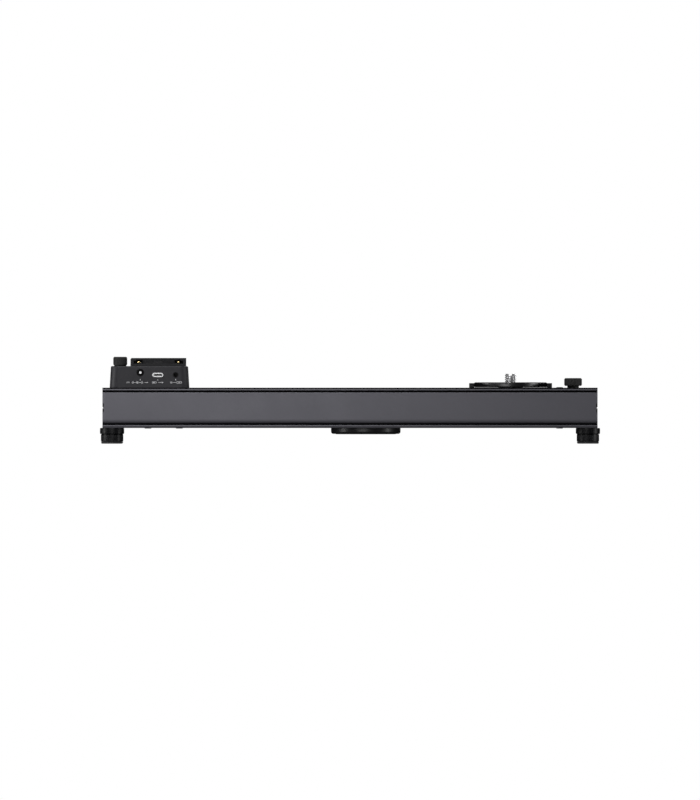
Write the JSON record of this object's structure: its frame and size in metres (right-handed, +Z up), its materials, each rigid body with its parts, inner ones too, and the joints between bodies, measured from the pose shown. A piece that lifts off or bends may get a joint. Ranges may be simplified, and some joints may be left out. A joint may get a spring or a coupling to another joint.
{
  "type": "motorised camera slider",
  "caption": "Motorised camera slider with a belt-driven panning carriage in a grooved rail, a control box with battery plate, a lock knob and screw feet.",
  "frame": {"origin": "on the surface the feet stand on, under the middle of the rail", "axes": "+X along the rail, from the control box to the lock knob; +Y across it, away from the ports; +Z up"},
  "size_m": [0.4142, 0.08, 0.072],
  "materials": {
    "anodised_rail": "anodised, fine satin",
    "black_metal": "black anodised, satin",
    "foot_black": "black anodised, knurled",
    "black_screws": "black oxide",
    "box_shell": "fine moulded texture",
    "battery_plate": "moulded, satin",
    "inner_plastic": "moulded",
    "jack_plastic": "gloss",
    "knob_black": "fine satin",
    "display_glass": "gloss window",
    "circuit_board": "solder mask",
    "rubber": "matt",
    "belt": "matt",
    "steel": "ground",
    "motor_steel": "black and bare steel",
    "inner_aluminium": "machined",
    "brass": "turned",
    "roller_plastic": "turned acetal"
  },
  "bodies": {
    "root": {"rail": "anodised_rail", "end_plate_left": "anodised_rail", "end_plate_right": "anodised_rail", "end_plate_screws": "black_screws", "end_buffer_strips": "rubber", "guide_rods": "steel", "control_box": "box_shell", "control_box_base": "inner_plastic", "battery_plate": "battery_plate", "battery_terminal_pins": "brass", "dc_power_jack": "jack_plastic", "usb_c_socket": "steel", "shutter_jack": "jack_plastic", "main_board": "circuit_board", "control_board": "circuit_board", "display_window": "display_glass", "display_module": "inner_plastic", "drive_motor": "motor_steel", "motor_bracket": "black_metal", "motor_screws": "black_screws", "idler_block": "black_metal", "idler_axle": "steel", "housing_screws": "black_screws", "bumpers": "rubber", "drive_belt": "belt", "tripod_plate": "black_metal", "tripod_pad": "rubber", "foot_sockets": "foot_black"},
    "carriage": {"carriage_chassis": "inner_aluminium", "carriage_saddle": "black_metal", "carriage_screws": "black_screws", "roller_axles": "steel", "belt_clamp": "inner_aluminium", "pan_motor": "motor_steel", "pan_bearing": "steel"},
    "pan_head": {"pan_plate": "black_metal", "pan_gear": "brass", "camera_screw": "steel", "pan_pad": "rubber"},
    "pinion": {"pan_pinion": "brass"},
    "drive_wheel": {"drive_pulley": "inner_aluminium"},
    "idler_wheel": {"idler_pulley": "inner_aluminium"},
    "brake": {"lock_pad": "rubber"},
    "brake_knob": {"lock_knob": "knob_black"},
    "dial_press": {"encoder_plunger": "steel"},
    "dial": {"dial_knob": "knob_black"},
    "button": {"power_button": "knob_black"},
    "latch": {"battery_latch": "knob_black"},
    "roller_front_left": {"roller_front_left": "roller_plastic"},
    "foot_lift_front_left": {"foot_pad_front_left": "rubber"},
    "foot_front_left": {"foot_cup_front_left": "foot_black"},
    "roller_front_right": {"roller_front_right": "roller_plastic"},
    "foot_lift_front_right": {"foot_pad_front_right": "rubber"},
    "foot_front_right": {"foot_cup_front_right": "foot_black"},
    "roller_rear_left": {"roller_rear_left": "roller_plastic"},
    "foot_lift_rear_left": {"foot_pad_rear_left": "rubber"},
    "foot_rear_left": {"foot_cup_rear_left": "foot_black"},
    "roller_rear_right": {"roller_rear_right": "roller_plastic"},
    "foot_lift_rear_right": {"foot_pad_rear_right": "rubber"},
    "foot_rear_right": {"foot_cup_rear_right": "foot_black"}
  },
  "joints": [
    {"name": "carriage_slide", "type": "slide", "parent": "root", "child": "carriage", "axis": [1, 0, 0], "range_m": [-0.23, 0]},
    {"name": "pan_turn", "type": "hinge", "parent": "carriage", "child": "pan_head", "pos_m": [0.1332, 0, 0.0485], "axis": [0, 0, 1], "continuous": true},
    {"name": "pinion_turn", "type": "hinge", "parent": "carriage", "child": "pinion", "pos_m": [0.1134, 0, 0.04], "axis": [0, 0, 1], "continuous": true},
    {"name": "drive_pulley_turn", "type": "hinge", "parent": "root", "child": "drive_wheel", "pos_m": [-0.1546, 0, 0.0225], "axis": [0, 0, 1], "range_deg": [-2077, 5]},
    {"name": "idler_pulley_turn", "type": "hinge", "parent": "root", "child": "idler_wheel", "pos_m": [0.1851, 0, 0.0225], "axis": [0, 0, 1], "range_deg": [-2077, 5]},
    {"name": "lock_pad_press", "type": "slide", "parent": "root", "child": "brake", "axis": [0, 0, 1], "range_m": [-0.0007, 0.001]},
    {"name": "lock_knob_turn", "type": "hinge", "parent": "brake", "child": "brake_knob", "pos_m": [0.1851, 0, 0.05], "axis": [0, 0, 1], "range_deg": [-245, 355]},
    {"name": "dial_push", "type": "slide", "parent": "root", "child": "dial_press", "axis": [0, 0, -1], "range_m": [0, 0.0005], "stiffness_N_per_m": 1500},
    {"name": "dial_turn", "type": "hinge", "parent": "dial_press", "child": "dial", "pos_m": [-0.1904, -0.024, 0.068], "axis": [0, 0, 1], "continuous": true},
    {"name": "power_button_press", "type": "slide", "parent": "root", "child": "button", "axis": [0, 0, -1], "range_m": [0, 0.0005], "stiffness_N_per_m": 1500},
    {"name": "battery_latch_press", "type": "slide", "parent": "root", "child": "latch", "axis": [0, 0, -1], "range_m": [0, 0.0017], "stiffness_N_per_m": 600},
    {"name": "roller_turn_front_left", "type": "hinge", "parent": "carriage", "child": "roller_front_left", "pos_m": [0.1112, -0.023, 0.033], "axis": [0, 0, 1], "range_deg": [-5, 2201.3]},
    {"name": "roller_turn_front_right", "type": "hinge", "parent": "carriage", "child": "roller_front_right", "pos_m": [0.1552, -0.023, 0.033], "axis": [0, 0, 1], "range_deg": [-5, 2201.3]},
    {"name": "roller_turn_rear_left", "type": "hinge", "parent": "carriage", "child": "roller_rear_left", "pos_m": [0.1112, 0.023, 0.033], "axis": [0, 0, 1], "range_deg": [-2201.3, 5]},
    {"name": "roller_turn_rear_right", "type": "hinge", "parent": "carriage", "child": "roller_rear_right", "pos_m": [0.1552, 0.023, 0.033], "axis": [0, 0, 1], "range_deg": [-2201.3, 5]},
    {"name": "foot_extend_front_left", "type": "slide", "parent": "root", "child": "foot_lift_front_left", "axis": [0, 0, -1], "range_m": [0, 0.0061]},
    {"name": "foot_turn_front_left", "type": "hinge", "parent": "foot_lift_front_left", "child": "foot_front_left", "pos_m": [-0.1974, -0.03, 0.005], "axis": [0, 0, 1], "range_deg": [0, 2160]},
    {"name": "foot_extend_front_right", "type": "slide", "parent": "root", "child": "foot_lift_front_right", "axis": [0, 0, -1], "range_m": [0, 0.0061]},
    {"name": "foot_turn_front_right", "type": "hinge", "parent": "foot_lift_front_right", "child": "foot_front_right", "pos_m": [0.1974, -0.03, 0.005], "axis": [0, 0, 1], "range_deg": [0, 2160]},
    {"name": "foot_extend_rear_left", "type": "slide", "parent": "root", "child": "foot_lift_rear_left", "axis": [0, 0, -1], "range_m": [0, 0.0061]},
    {"name": "foot_turn_rear_left", "type": "hinge", "parent": "foot_lift_rear_left", "child": "foot_rear_left", "pos_m": [-0.1974, 0.03, 0.005], "axis": [0, 0, 1], "range_deg": [0, 2160]},
    {"name": "foot_extend_rear_right", "type": "slide", "parent": "root", "child": "foot_lift_rear_right", "axis": [0, 0, -1], "range_m": [0, 0.0061]},
    {"name": "foot_turn_rear_right", "type": "hinge", "parent": "foot_lift_rear_right", "child": "foot_rear_right", "pos_m": [0.1974, 0.03, 0.005], "axis": [0, 0, 1], "range_deg": [0, 2160]}
  ],
  "couplings": [
    {"joint": "drive_pulley_turn", "follows": "carriage_slide", "rad_per_m": 157.23},
    {"joint": "idler_pulley_turn", "follows": "carriage_slide", "rad_per_m": 157.23},
    {"joint": "roller_turn_front_left", "follows": "carriage_slide", "rad_per_m": -166.67},
    {"joint": "roller_turn_front_right", "follows": "carriage_slide", "rad_per_m": -166.67},
    {"joint": "roller_turn_rear_left", "follows": "carriage_slide", "rad_per_m": 166.67},
    {"joint": "roller_turn_rear_right", "follows": "carriage_slide", "rad_per_m": 166.67},
    {"joint": "foot_extend_front_left", "follows": "foot_turn_front_left", "m_per_rad": 0.00015915},
    {"joint": "foot_extend_front_right", "follows": "foot_turn_front_right", "m_per_rad": 0.00015915},
    {"joint": "foot_extend_rear_left", "follows": "foot_turn_rear_left", "m_per_rad": 0.00015915},
    {"joint": "foot_extend_rear_right", "follows": "foot_turn_rear_right", "m_per_rad": 0.00015915},
    {"joint": "pinion_turn", "follows": "pan_turn", "ratio": -3.125},
    {"joint": "lock_pad_press", "follows": "lock_knob_turn", "m_per_rad": 0.00015915}
  ]
}
